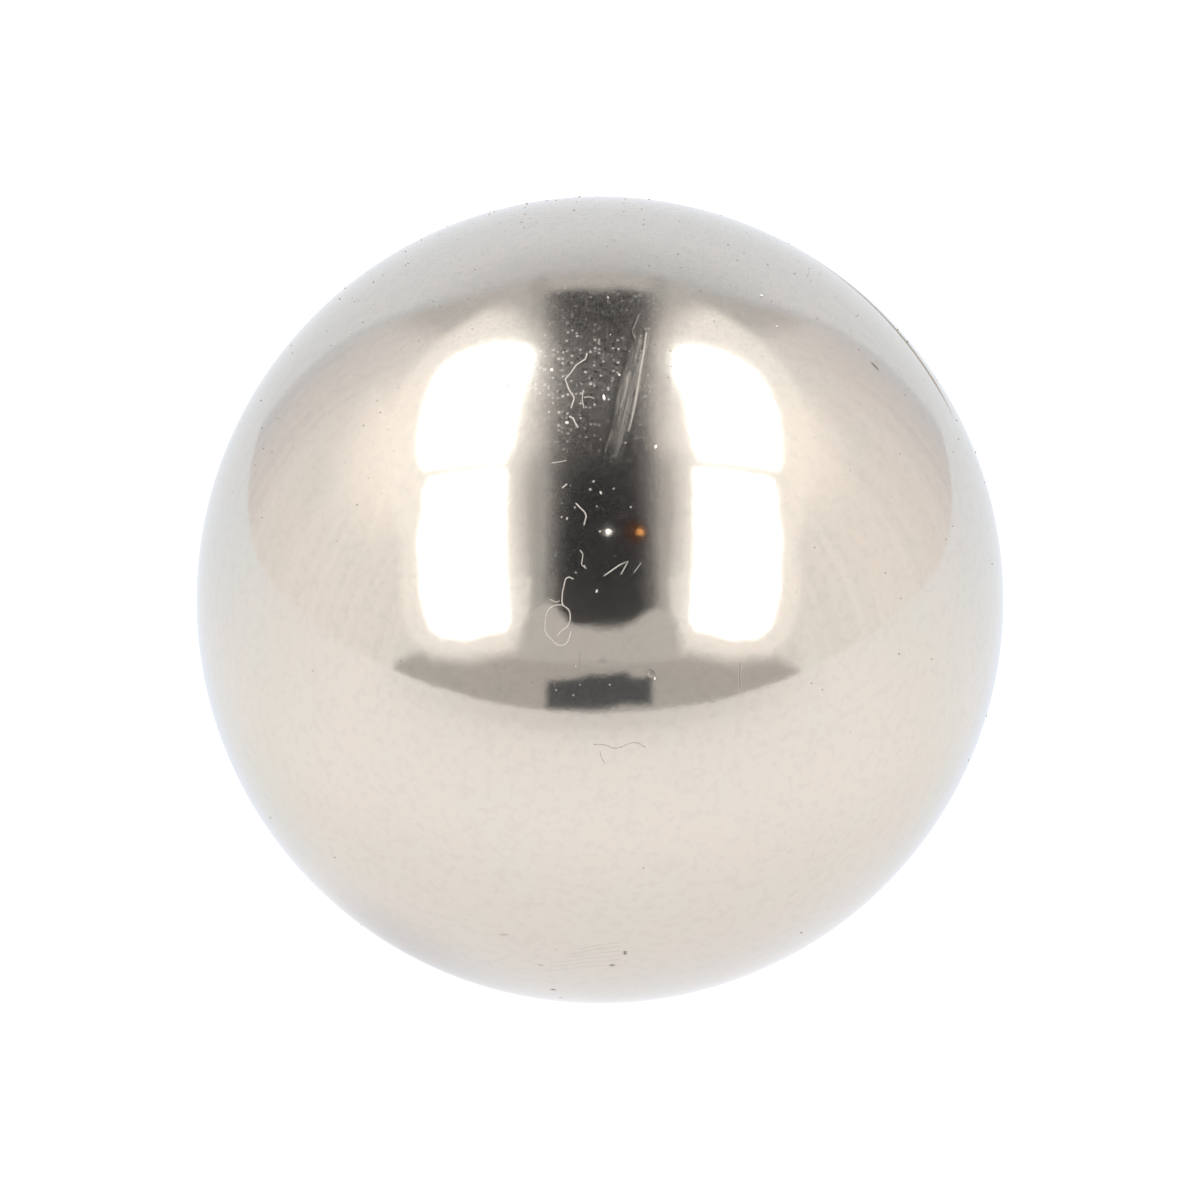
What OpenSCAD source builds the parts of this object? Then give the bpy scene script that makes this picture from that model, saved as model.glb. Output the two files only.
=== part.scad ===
// Sphere magnet: one solid ball of sintered magnet alloy, ground true and
// plated all over with bright nickel. It has no seam, flat, bore or shell.
// The origin is the ball's centre. The magnetic axis runs along Z, with the
// north pole at the top of the ball and the south pole at the bottom.

/* [Ball] */
// Diameter over the plating
ball_d = 10; // [3:0.5:50]

/* [Drawing] */
// Facets round the ball's equator, a multiple of four so that both poles are points
facets = 96; // [60:12:180]

/* [Hidden] */

// Nickel plate, as red, green and blue
nickel = [0.83, 0.80, 0.75];

// Half of the ball's section through its magnetic axis: the half disc on the
// right of the axis, from the south pole up to the north pole.
module half_section(d) {
    intersection() {
        circle(d = d, $fn = facets);
        translate([0, -d / 2])
            square([d / 2, d]);
    }
}

// The ball: its half section, turned once about the magnetic axis.
module ball() {
    color(nickel)
        rotate_extrude($fn = facets)
            half_section(ball_d);
}

ball();
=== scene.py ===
"""A sphere magnet: a ground ball of magnet alloy under bright nickel plate.

The ball stands in a small light tent on a glowing table. Its plating is rubbed in one
patch, pitted in a few places, and dusted with lint, as a handled magnet is.
"""

from __future__ import annotations

import logging
import math
import random
from dataclasses import dataclass
from enum import Enum

import bpy
import numpy as np
from mathutils import Matrix, Vector

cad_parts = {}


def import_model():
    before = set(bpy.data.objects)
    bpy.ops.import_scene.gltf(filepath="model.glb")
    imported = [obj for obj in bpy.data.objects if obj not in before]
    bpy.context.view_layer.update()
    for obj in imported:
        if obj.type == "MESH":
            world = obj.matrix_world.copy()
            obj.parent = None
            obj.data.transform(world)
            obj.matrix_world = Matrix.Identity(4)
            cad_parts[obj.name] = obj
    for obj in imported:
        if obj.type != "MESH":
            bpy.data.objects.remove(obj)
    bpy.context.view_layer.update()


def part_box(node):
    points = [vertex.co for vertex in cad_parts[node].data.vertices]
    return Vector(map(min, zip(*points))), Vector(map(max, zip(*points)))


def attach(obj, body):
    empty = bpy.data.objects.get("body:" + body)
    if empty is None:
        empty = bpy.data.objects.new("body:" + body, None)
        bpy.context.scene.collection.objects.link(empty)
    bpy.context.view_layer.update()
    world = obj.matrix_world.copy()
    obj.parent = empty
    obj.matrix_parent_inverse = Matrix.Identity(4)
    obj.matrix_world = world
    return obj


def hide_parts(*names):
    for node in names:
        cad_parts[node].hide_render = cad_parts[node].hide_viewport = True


LOG = logging.getLogger("sphere_magnet")

MM = 0.001
MICRON = 0.000001

# A place in the view, in millimetres to the right and up, or a bearing, in degrees.
Place = tuple[float, float]
# A low and a high limit.
Span = tuple[float, float]
# The stops of a colour ramp: each one's position, from 0 to 1, and its hex colour.
Stops = tuple[tuple[float, str], ...]

# Settings that many nodes share. A Mix node takes its share at input 0. Numbers go in at
# inputs 2 and 3 and come out at output 0. Colours go in at 6 and 7 and come out at 2. A Map
# Range node takes, in order, a value, the two ends that it comes from, and the two ends that
# it goes to, which are 0 and 1 if they aren't given.
SMOOTH = {"interpolation_type": "SMOOTHSTEP"}
MULTIPLY = {"operation": "MULTIPLY"}
MIX_NUMBERS = {"data_type": "FLOAT"}
MIX_COLOURS = {"data_type": "RGBA"}


# ---------------------------------------------------------------- helpers


def linear_rgb(hex_colour: str) -> tuple[float, float, float, float]:
    """Turns an sRGB hex colour into the linear one that shaders take.

    Args:
        hex_colour: Six hex digits, such as "D4CDC0".

    Returns:
        Linear red, green, blue and an alpha of one.
    """
    parts = [int(hex_colour[i : i + 2], 16) / 255 for i in (0, 2, 4)]
    linear = [c / 12.92 if c <= 0.04045 else ((c + 0.055) / 1.055) ** 2.4 for c in parts]
    return (linear[0], linear[1], linear[2], 1.0)


def add_node(
    tree: bpy.types.NodeTree,
    kind: str,
    settings: dict[str, object] | None = None,
    inputs: dict[str | int, object] | tuple[object, ...] = (),
) -> bpy.types.Node:
    """Adds one shader node with its settings, values and links.

    Args:
        tree: The node tree that it goes into.
        kind: The node's type, such as "ShaderNodeBump".
        settings: The node's own properties, by name.
        inputs: Values and other nodes' outputs, by the input's name or number, or in order.

    Returns:
        The new node.
    """
    node = tree.nodes.new(kind)
    for name, value in (settings or {}).items():
        setattr(node, name, value)
    given = inputs.items() if isinstance(inputs, dict) else enumerate(inputs)
    for name, value in given:
        if isinstance(value, bpy.types.NodeSocket):
            tree.links.new(value, node.inputs[name])
        else:
            node.inputs[name].default_value = value
    return node


def fill_ramp(ramp: bpy.types.Node, stops: Stops) -> None:
    """Gives a colour ramp its stops.

    Args:
        ramp: The ramp's node.
        stops: The stops, from the lowest up.
    """
    elements = ramp.color_ramp.elements
    while len(elements) < len(stops):
        elements.new(0.5)
    for element, (position, colour) in zip(elements, stops):
        element.position = position
        element.color = linear_rgb(colour)


def empty_material(name: str) -> bpy.types.Material:
    """Makes a material with an empty node tree.

    Args:
        name: The material's name.

    Returns:
        The material.
    """
    material = bpy.data.materials.new(name)
    material.use_nodes = True
    material.node_tree.nodes.clear()
    return material


def start_afresh() -> None:
    """Leaves edit mode and deselects everything, so that an operator acts on new work alone."""
    if bpy.context.object and bpy.context.object.mode != "OBJECT":
        bpy.ops.object.mode_set(mode="OBJECT")
    bpy.ops.object.select_all(action="DESELECT")


def new_piece(name: str) -> bpy.types.Object:
    """Names the primitive that was just added, and its mesh.

    Args:
        name: The name for both.

    Returns:
        The primitive's object.
    """
    piece = bpy.context.object
    piece.name = name
    piece.data.name = name
    return piece


def join_pieces(pieces: list[bpy.types.Object], name: str) -> bpy.types.Object:
    """Joins several meshes into one piece at the origin.

    Args:
        pieces: The meshes, placed.
        name: The name of the piece that they become.

    Returns:
        The piece.
    """
    start_afresh()
    for piece in pieces:
        piece.select_set(True)
    bpy.context.view_layer.objects.active = pieces[0]
    bpy.ops.object.join()
    bpy.ops.object.transform_apply(location=True, rotation=True, scale=True)
    return new_piece(name)


def read_points(mesh: bpy.types.Mesh) -> np.ndarray:
    """Reads where a mesh's vertices are.

    Args:
        mesh: The mesh.

    Returns:
        An array of points, one in each row.
    """
    flat = np.empty(len(mesh.vertices) * 3)
    mesh.vertices.foreach_get("co", flat)
    return flat.reshape(-1, 3)


def write_points(mesh: bpy.types.Mesh, points: np.ndarray) -> None:
    """Writes an array of points back to a mesh's vertices."""
    mesh.vertices.foreach_set("co", points.reshape(-1))
    mesh.update()


def write_attribute(mesh: bpy.types.Mesh, name: str, values: np.ndarray | list[float]) -> None:
    """Stores one number for each of a mesh's vertices, for its material to read."""
    mesh.attributes.new(name, "FLOAT", "POINT").data.foreach_set("value", values)


# ---------------------------------------------------------------- viewpoint


@dataclass(frozen=True)
class Viewpoint:
    """Where the camera stands, and how a place in its view lands on the ball.

    A place on the ball is given as seen from here: millimetres to the right of the
    ball's centre and millimetres above it.
    """

    ball_radius: float
    elevation_deg: float = 31.0
    lens_mm: float = 400.0
    sensor_mm: float = 36.0
    radius_in_frame: float = 403.5 / 1200
    clip_start: float = 0.01
    clip_end: float = 2.0

    @property
    def towards(self) -> Vector:
        """The direction from the ball to the camera."""
        tilt = math.radians(self.elevation_deg)
        return Vector((0, -math.cos(tilt), math.sin(tilt)))

    @property
    def upwards(self) -> Vector:
        """The direction that is up in the camera's view."""
        tilt = math.radians(self.elevation_deg)
        return Vector((0, math.sin(tilt), math.cos(tilt)))

    @property
    def distance(self) -> float:
        """How far the camera stands off, so that the ball fills its share of the frame."""
        half_angle = math.atan(self.radius_in_frame * self.sensor_mm / self.lens_mm)
        return self.ball_radius / math.sin(half_angle)

    def place(self, right_mm: float, up_mm: float, lift: float = 0.0) -> Vector:
        """Finds the point of the ball that is seen at a place in the view.

        Args:
            right_mm: Millimetres to the right of the ball's centre.
            up_mm: Millimetres above the ball's centre.
            lift: Metres above the ball's surface.

        Returns:
            The point, in metres.
        """
        eye = self.towards * self.distance
        aim = Vector((right_mm * MM, 0, 0)) + self.upwards * (up_mm * MM)
        ray = (aim - eye).normalized()
        along = -eye.dot(ray)
        off_axis = (eye + ray * along).length
        radius = self.ball_radius + lift
        if off_axis >= radius:
            return (eye + ray * along).normalized() * radius
        return eye + ray * (along - math.sqrt(radius**2 - off_axis**2))

    def set_up_camera(self) -> bpy.types.Object:
        """Adds the camera and makes it the scene's own.

        Returns:
            The camera.
        """
        start_afresh()
        tilt = math.radians(90 - self.elevation_deg)
        bpy.ops.object.camera_add(location=self.towards * self.distance, rotation=(tilt, 0, 0))
        camera = bpy.context.object
        camera.name = "camera"
        camera.data.lens = self.lens_mm
        camera.data.sensor_width = self.sensor_mm
        camera.data.clip_start = self.clip_start
        camera.data.clip_end = self.clip_end
        bpy.context.scene.camera = camera
        LOG.info("camera set %.0f mm from the ball", self.distance / MM)
        return camera


# ---------------------------------------------------------------- light tent

DISC_CORNERS = 12


def mirrored(*right: Place) -> tuple[Place, ...]:
    """Closes an outline of bearings with its own mirror image across the tent's middle.

    Args:
        right: The outline's right half, as azimuth and elevation in degrees.

    Returns:
        The whole outline, right half first.
    """
    left = tuple((-azimuth, rise) for azimuth, rise in reversed(right))
    return right + left


def disc(azimuth: float, rise: float, spread: float) -> tuple[Place, ...]:
    """Outlines a round patch of the tent.

    Args:
        azimuth: The bearing of its middle, in degrees.
        rise: The elevation of its middle, in degrees.
        spread: Its angular radius, in degrees.

    Returns:
        The bearings of points round it.
    """
    turns = [math.tau * i / DISC_CORNERS for i in range(DISC_CORNERS)]
    widen = spread / math.cos(math.radians(rise))
    return tuple((azimuth + widen * math.cos(t), rise + spread * math.sin(t)) for t in turns)


def direction(azimuth: float, rise: float) -> tuple[float, float, float]:
    """Turns a bearing, in degrees, into an x, y and z of length one."""
    turn, tilt = math.radians(azimuth), math.radians(rise)
    return (math.sin(turn) * math.cos(tilt), -math.cos(turn) * math.cos(tilt), math.sin(tilt))


class Side(Enum):
    """The tent's two sides, as the camera sees them."""

    LEFT = -1
    RIGHT = 1


@dataclass(frozen=True)
class Glow:
    """A lit or unlit surface of the tent, as a glow that fades out at its border.

    Where it has an upper colour, it turns to that between the two elevations of `rise`.
    It comes in smoothly, or with a steepness above 1 fast at its border and then ever
    more slowly.
    """

    name: str
    colour: str
    strength: float = 1.0
    upper_colour: str = ""
    rise: Span = (18, 50)
    steepness: float = 1.0

    def make(self) -> bpy.types.Material:
        """Builds the glow. The attribute `lit` runs from 0 at the border to 1 inside it.

        Returns:
            The glow's material, which all its cards share.
        """
        if self.name in bpy.data.materials:
            return bpy.data.materials[self.name]
        material = empty_material(self.name)
        tree = material.node_tree
        colour = self._graded(tree) if self.upper_colour else linear_rgb(self.colour)
        lit = add_node(tree, "ShaderNodeAttribute", {"attribute_name": "lit"}).outputs["Fac"]
        unlit = add_node(tree, "ShaderNodeMath", {"operation": "SUBTRACT"}, (1.0, lit)).outputs["Value"]
        outer = add_node(tree, "ShaderNodeMath", {"operation": "POWER"}, (unlit, self.steepness))
        come_in = None if self.steepness > 1 else SMOOTH
        fade = add_node(tree, "ShaderNodeMapRange", come_in, (outer.outputs["Value"], 1.0, 0.0))
        clear = add_node(tree, "ShaderNodeBsdfTransparent")
        emission = add_node(
            tree, "ShaderNodeEmission", None, {"Color": colour, "Strength": self.strength}
        )
        mix = add_node(
            tree, "ShaderNodeMixShader", None,
            (fade.outputs["Result"], clear.outputs[0], emission.outputs[0]),
        )
        add_node(tree, "ShaderNodeOutputMaterial", None, {"Surface": mix.outputs[0]})
        return material

    def _graded(self, tree: bpy.types.NodeTree) -> bpy.types.NodeSocket:
        """Grades the colour by the elevation at which the ball sees the surface.

        Args:
            tree: The glow's node tree.

        Returns:
            The colour.
        """
        spot = add_node(tree, "ShaderNodeTexCoord").outputs["Object"]
        bearing = add_node(tree, "ShaderNodeVectorMath", {"operation": "NORMALIZE"}, (spot,))
        parts = add_node(tree, "ShaderNodeSeparateXYZ", None, (bearing.outputs["Vector"],))
        heights = (math.sin(math.radians(angle)) for angle in self.rise)
        share = add_node(tree, "ShaderNodeMapRange", SMOOTH, (parts.outputs["Z"], *heights))
        graded = add_node(
            tree, "ShaderNodeMix", MIX_COLOURS,
            {0: share.outputs["Result"], 6: linear_rgb(self.colour), 7: linear_rgb(self.upper_colour)},
        )
        return graded.outputs[2]


@dataclass(frozen=True)
class Card:
    """A flat card hung in the tent, given by the bearings of its corners.

    A bearing is an azimuth and an elevation in degrees, as seen from the ball: azimuth
    0 is towards the camera and positive to the right. The card hangs `distance` metres
    off and faces the bearing `facing`, or its own middle if that isn't given. Its glow
    comes in over a border that is `soft_mm` wide.
    """

    name: str
    glow: Glow
    soft_mm: float
    distance: float
    corners: tuple[Place, ...]
    facing: Place | None = None

    def hang(self, side: Side = Side.RIGHT) -> bpy.types.Object:
        """Cuts the card out and hangs it.

        Args:
            side: LEFT mirrors the card across the tent's middle.

        Returns:
            The card.
        """
        start_afresh()
        bpy.ops.mesh.primitive_circle_add(vertices=len(self.corners), fill_type="NGON")
        card = new_piece(f"{self.name}_{side.name.lower()}")
        write_points(card.data, self._outline(side))
        bpy.ops.object.mode_set(mode="EDIT")
        bpy.ops.mesh.select_all(action="SELECT")
        bpy.ops.mesh.inset(thickness=self.soft_mm * MM)
        bpy.ops.object.mode_set(mode="OBJECT")
        inner = {i for face in card.data.polygons if face.select for i in face.vertices}
        lit = [float(i in inner) for i in range(len(card.data.vertices))]
        write_attribute(card.data, "lit", lit)
        card.data.materials.append(self.glow.make())
        card.visible_camera = False
        return card

    def _outline(self, side: Side) -> np.ndarray:
        """Finds the corners where their bearings meet the card's own flat plane.

        Args:
            side: The side of the tent that the card hangs on.

        Returns:
            The corners, in metres.
        """
        rays = np.array([direction(azimuth * side.value, rise) for azimuth, rise in self.corners])
        facing = rays.mean(axis=0) if self.facing is None else np.array(direction(*self.facing))
        facing /= np.linalg.norm(facing)
        return rays * (self.distance / (rays @ facing))[:, None]


DARK_ROOM = Glow("dark_room", "3B3B3E", upper_colour="313135", rise=(29, 46), steepness=3.5)
LIT_PANEL = Glow("lit_panel", "FFFFFF", 4.0)

# The roof's cards all face this way, nearly straight down, so that they hang one below the other.
OVERHEAD = (0, 78)

# What lies across the tent's middle, from the far cloth to the openings in front of it.
MIDDLE_CARDS = (
    Card(
        "back_cloth", Glow("back_cloth", "D0CFD0"), 180, 0.9,
        mirrored(
            (168, 8), (152, 12), (144, 20), (138, 28), (134.5, 36), (131.5, 44), (134, 52), (144, 60),
            (160, 64),
        ),
    ),
    Card(
        "backdrop_rim", Glow("backdrop_rim", "C4C8D1", 1.1), 5, 0.39,
        mirrored((143.5, -20), (144, 12), (145.5, 24), (148, 33), (154, 38.5), (162, 41), (176, 42)),
    ),
    Card(
        "backdrop", Glow("backdrop", "E8ECF4", 1.13, "CACDD3"), 40, 0.38,
        mirrored((141.5, -30), (142.4, 12), (144, 25), (147, 34), (153, 40), (161, 42.5), (176, 43.5)),
    ),
    Card(
        "roof_cloth", Glow("roof_cloth", "CBCACB"), 24, 0.37,
        mirrored((40, 30), (60, 55), (90, 66), (132, 56), (150, 52), (170, 50)), OVERHEAD,
    ),
    Card(
        "camera_slot", DARK_ROOM, 78, 0.35,
        (
            (17.7, 18), (20.6, 34.5), (25.5, 48.3), (30.5, 56.2), (38.7, 63.8), (53.7, 71), (70.6, 74.9),
            (93.8, 76.5), (118, 75.1), (136.2, 71), (148.3, 65), (163.2, 48.2), (175, 48),
            (-180, 49.4), (-172, 48.2), (-164, 48), (-149.7, 65.3), (-137.6, 70.9), (-118.7, 74.8),
            (-93.2, 76.2), (-68.6, 74.7), (-51.3, 71.2), (-36.6, 64.3), (-28.7, 56.6), (-24, 48.6),
            (-19.2, 34), (-16.6, 18),
        ),
        OVERHEAD,
    ),
    Card("amber_glow", Glow("amber_glow", "7A4020", 0.3), 22, 0.345, disc(15, 49.4, 4.6), OVERHEAD),
    Card("amber_lamp", Glow("amber_lamp", "FFB768", 1.8), 3, 0.34, disc(17, 49, 1.1), OVERHEAD),
    Card("pilot_lamp", Glow("pilot_lamp", "FFFFFF", 6.0), 1, 0.34, disc(3.7, 50, 0.72), OVERHEAD),
    Card(
        "tent_apron", Glow("tent_apron", "C8C5C4"), 40, 0.36,
        (
            (58.5, -14), (57, 1), (51, 7), (42, 15), (28, 23), (18, 25),
            (-18, 25), (-28, 23), (-42, 16), (-52, 8.5), (-59, 2), (-60.5, -14),
        ),
    ),
    Card(
        "cross_bar", Glow("cross_bar", "D8D6D6"), 15, 0.35,
        (
            (26, 11), (26, 21), (22, 27), (18.3, 29), (15.4, 28.4), (12.4, 27.4), (9.9, 25.6),
            (7.5, 24.8), (5.1, 24.4), (1, 24.4), (-2, 24.6), (-6.8, 25), (-9.3, 26), (-12.3, 28.8),
            (-14.9, 30.6), (-17.5, 31), (-22, 27), (-26, 20), (-26, 11),
        ),
    ),
    Card(
        "door_gap", Glow("door_gap", "54565B"), 11, 0.34,
        (
            (14.9, -0.4), (15.4, 9.8), (13.2, 10.2), (12, 9.4), (9.4, 9.8), (7.8, 11.6),
            (1.6, 11.2), (-3, 11.2), (-7, 9.6), (-12, 8.7), (-15.6, 8.3), (-15.2, -1),
            (-3, -1.2), (2.3, -0.4), (6, 0.6), (10, -0.2),
        ),
    ),
    # A dark strip lying on the table behind the ball to the right, seen only in the ball near its upper
    # right edge.
    Card(
        "dark_table_strip", Glow("dark_table_strip", "B0A494"), 0.3, 0.023,
        (
            (146, -18.8), (149, -16), (153, -13.5), (158, -12.8), (164, -13), (170, -14.5),
            (170, -12), (164, -10), (158, -9.4), (153, -10.2), (149, -12.6), (146, -15.4),
        ),
    ),
)

# What each side holds: the slot's jamb, the lit cloth round the panels, and the front panel,
# whose end meets the roof panel's in a seam.
SIDE_CARDS = (
    Card(
        "slot_jamb", Glow("slot_jamb", "BDBCBC"), 12, 0.366,
        (
            (14, 18), (16, 35), (22, 51), (37, 67), (93, 79), (153, 67), (168, 48), (169, 40),
            (164.5, 40), (160, 49), (146, 62.5), (94, 72), (52, 64), (32, 49), (24, 34), (22, 18),
        ),
        OVERHEAD,
    ),
    Card(
        "panel_spill", Glow("panel_spill", "F2EFEE", 1.45), 80, 0.348,
        (
            (17.8, 17), (20, 32), (22.3, 40), (25.5, 48), (30.5, 56), (36, 64), (38, 72), (55, 77.5),
            (89, 80), (126, 78.5), (147.6, 74), (157, 69), (160, 62), (159.5, 52), (157.5, 46.5),
            (152.5, 43), (144.5, 42), (136, 40), (128, 38), (115, 36), (100, 34.5), (86, 31), (74, 27),
            (69, 22), (63.5, 15), (57, 9), (44, 5), (30, 6),
        ),
        OVERHEAD,
    ),
    Card(
        "apron_spill", Glow("apron_spill", "F2EFEE", 1.4), 34, 0.355,
        ((20, 25), (22, 13), (28, 10), (36, 6.5), (48, 3.5), (56, 6.5), (62, 13), (60, 25)),
    ),
    Card(
        "front_panel", LIT_PANEL, 12, 0.30,
        (
            (55, 60.2), (47, 55.5), (39.7, 48.5), (34, 40), (29.5, 31), (26.5, 22), (27.5, 19),
            (32.6, 16.8), (39, 13.2), (46, 11.6), (50.5, 12.3), (54, 15.8), (58, 20.3), (60.6, 24.7),
            (66.4, 30.3), (70.4, 35.2), (76.5, 39.4), (79.5, 42.7),
        ),
    ),
)

# What each side has of its own: its roof panel, and the wide glow on the cloth beside that.
OWN_CARDS = {
    Side.LEFT: (
        Card(
            "roof_panel", LIT_PANEL, 12, 0.30,
            (
                (56.5, 60), (62, 65), (77, 69.3), (97, 71.3), (121, 72), (141, 68.5), (144, 64.2),
                (138.5, 56.6), (133.5, 52), (128.3, 48.5), (124, 46.7), (115, 45.8), (105, 44.8),
                (96, 43.4), (87, 41.8), (82, 42),
            ),
        ),
        Card("side_glow", Glow("left_glow", "F4EFEC", 1.6), 215, 0.41, disc(96, 41, 29)),
    ),
    Side.RIGHT: (
        Card(
            "roof_panel", LIT_PANEL, 12, 0.30,
            (
                (59.5, 59.4), (64, 63.8), (76, 68), (97, 70), (120, 70.8), (131, 68.8), (140.5, 65),
                (140, 61.3), (134.8, 56), (129.3, 51.9), (123.7, 48.6), (115, 46.4), (105, 45),
                (96, 43.4), (87, 41.8), (82, 42),
            ),
        ),
        Card("side_glow", Glow("right_glow", "F4EFEC", 1.55), 170, 0.41, disc(97, 42, 23)),
    ),
}


@dataclass(frozen=True)
class GlowingTable:
    """The glowing table that the ball stands on.

    The camera sees it as plain white. The ball sees it brighten outward from its foot, out of
    the ball's own contact shadow painted into the glow, and dim again far off, less so at the
    back than at the front, with a painted shadow of the ball beside the foot and a cooler spot
    behind it. Reaches are in millimetres. `front` holds the limits of what counts as the front:
    the y of a bearing, from -1 towards the camera to 1 behind.
    """

    ball_radius: float
    seen_white: float
    edge: tuple[Place, ...] = mirrored(
        (15, -0.8), (44, -0.8), (55, -1.0), (66, -1.3), (78, -2.0), (90, -2.8), (103, -4.4),
        (113, -5.3), (126, -5.3), (137, -5.1), (146.5, -5.4), (150, -1.0), (166, -0.8),
    )
    # The glow is dimmer near the foot: the ball's contact shadow, painted into the table's glow.
    near_reach_mm: Span = (1, 12)
    near_glow: Span = (1.04, 1.225)
    far_reach_mm: Span = (4, 90)
    far_glow: Span = (0.785, 0.985)
    front: Span = (-1.0, -0.4)
    colours: Stops = (
        (0.0, "FEFCFE"), (0.29, "F8F8FA"), (0.5, "F3F5FA"), (0.71, "EAEEF6"), (0.9, "E1E6ED"),
        (1.0, "E3E7EE"),
    )
    # A painted shadow of the ball on the table, a little to the left of its foot.
    shaded_spot_mm: tuple[float, float, float] = (-2.8, -1.5, 0)
    shaded_reach_mm: float = 2.4
    shaded_glow: float = 0.84
    cool_spot_mm: tuple[float, float, float] = (0, 4, 0)
    cool_reach_mm: Span = (6.2, 9.0)
    cool_glow: float = 1.03
    cool_colour: str = "F8FBFF"

    def lay(self) -> bpy.types.Object:
        """Cuts the table out and lights it.

        Returns:
            The table, just under the ball.
        """
        start_afresh()
        bpy.ops.mesh.primitive_circle_add(vertices=len(self.edge), fill_type="NGON")
        table = new_piece("table")
        rays = np.array([direction(*place) for place in self.edge])
        write_points(table.data, rays * (-self.ball_radius / rays[:, 2:]))
        table.data.materials.append(self._light())
        LOG.info("table laid")
        return table

    def _light(self) -> bpy.types.Material:
        """Builds the table's glow.

        Returns:
            Its material.
        """
        material = empty_material("glowing_table")
        tree = material.node_tree
        spot = add_node(tree, "ShaderNodeTexCoord").outputs["Object"]
        level = add_node(tree, "ShaderNodeVectorMath", MULTIPLY, (spot, (1, 1, 0))).outputs["Vector"]
        unit = add_node(tree, "ShaderNodeVectorMath", {"operation": "NORMALIZE"}, (level,))
        parts = add_node(tree, "ShaderNodeSeparateXYZ", None, (unit.outputs["Vector"],))
        behind = parts.outputs["Y"]
        from_shaded, from_cool = (
            add_node(
                tree, "ShaderNodeVectorMath", {"operation": "DISTANCE"},
                (level, tuple(part * MM for part in spot_mm)),
            ).outputs["Value"]
            for spot_mm in (self.shaded_spot_mm, self.cool_spot_mm)
        )
        cool_reach = (end * MM for end in self.cool_reach_mm)
        cool = add_node(
            tree, "ShaderNodeMapRange", SMOOTH, (from_cool, *cool_reach, 1.0, 0.0)
        ).outputs["Result"]
        lifted = add_node(tree, "ShaderNodeMapRange", None, (cool, 0.0, 1.0, 1.0, self.cool_glow))
        shaded = add_node(
            tree, "ShaderNodeMapRange", SMOOTH,
            (from_shaded, 0.0, self.shaded_reach_mm * MM, self.shaded_glow, 1.0),
        )
        power, far_off = self._reach_factors(tree, level, behind)
        for factor in (far_off, shaded.outputs["Result"], lifted.outputs["Result"]):
            power = add_node(tree, "ShaderNodeMath", MULTIPLY, (power, factor)).outputs["Value"]
        towards_back = add_node(tree, "ShaderNodeMapRange", None, (behind, self.front[1], 1.0))
        ramp = add_node(tree, "ShaderNodeValToRGB", None, (towards_back.outputs["Result"],))
        fill_ramp(ramp, self.colours)
        cooled = add_node(
            tree, "ShaderNodeMix", {**MIX_COLOURS, "blend_type": "MULTIPLY"},
            {0: cool, 6: ramp.outputs["Color"], 7: linear_rgb(self.cool_colour)},
        )
        glow = add_node(tree, "ShaderNodeEmission", None, (cooled.outputs[2], power))
        plain = add_node(tree, "ShaderNodeEmission", None, {"Strength": self.seen_white})
        path = add_node(tree, "ShaderNodeLightPath")
        mix = add_node(
            tree, "ShaderNodeMixShader", None,
            (path.outputs["Is Camera Ray"], glow.outputs[0], plain.outputs[0]),
        )
        add_node(tree, "ShaderNodeOutputMaterial", None, {"Surface": mix.outputs[0]})
        return material

    def _reach_factors(
        self, tree: bpy.types.NodeTree, level: bpy.types.NodeSocket, behind: bpy.types.NodeSocket
    ) -> tuple[bpy.types.NodeSocket, bpy.types.NodeSocket]:
        """Works out how the glow changes with the distance from the ball's foot.

        Args:
            tree: The table's node tree.
            level: The place on the table, from the ball's foot.
            behind: How far towards the back its bearing is, from -1 to 1.

        Returns:
            Two factors: the rise near the foot, out of the ball's painted contact shadow, and the fall far
                off.
        """
        reach = add_node(tree, "ShaderNodeVectorMath", {"operation": "LENGTH"}, (level,)).outputs["Value"]
        furthest = add_node(tree, "ShaderNodeMapRange", None, (behind, *self.front, *self.far_glow))
        near, far = (
            add_node(
                tree, "ShaderNodeMapRange", SMOOTH, (reach, *(end * MM for end in reach_mm), *glow)
            ).outputs["Result"]
            for reach_mm, glow in (
                (self.near_reach_mm, self.near_glow),
                (self.far_reach_mm, (1.0, furthest.outputs["Result"])),
            )
        )
        return near, far


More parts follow.
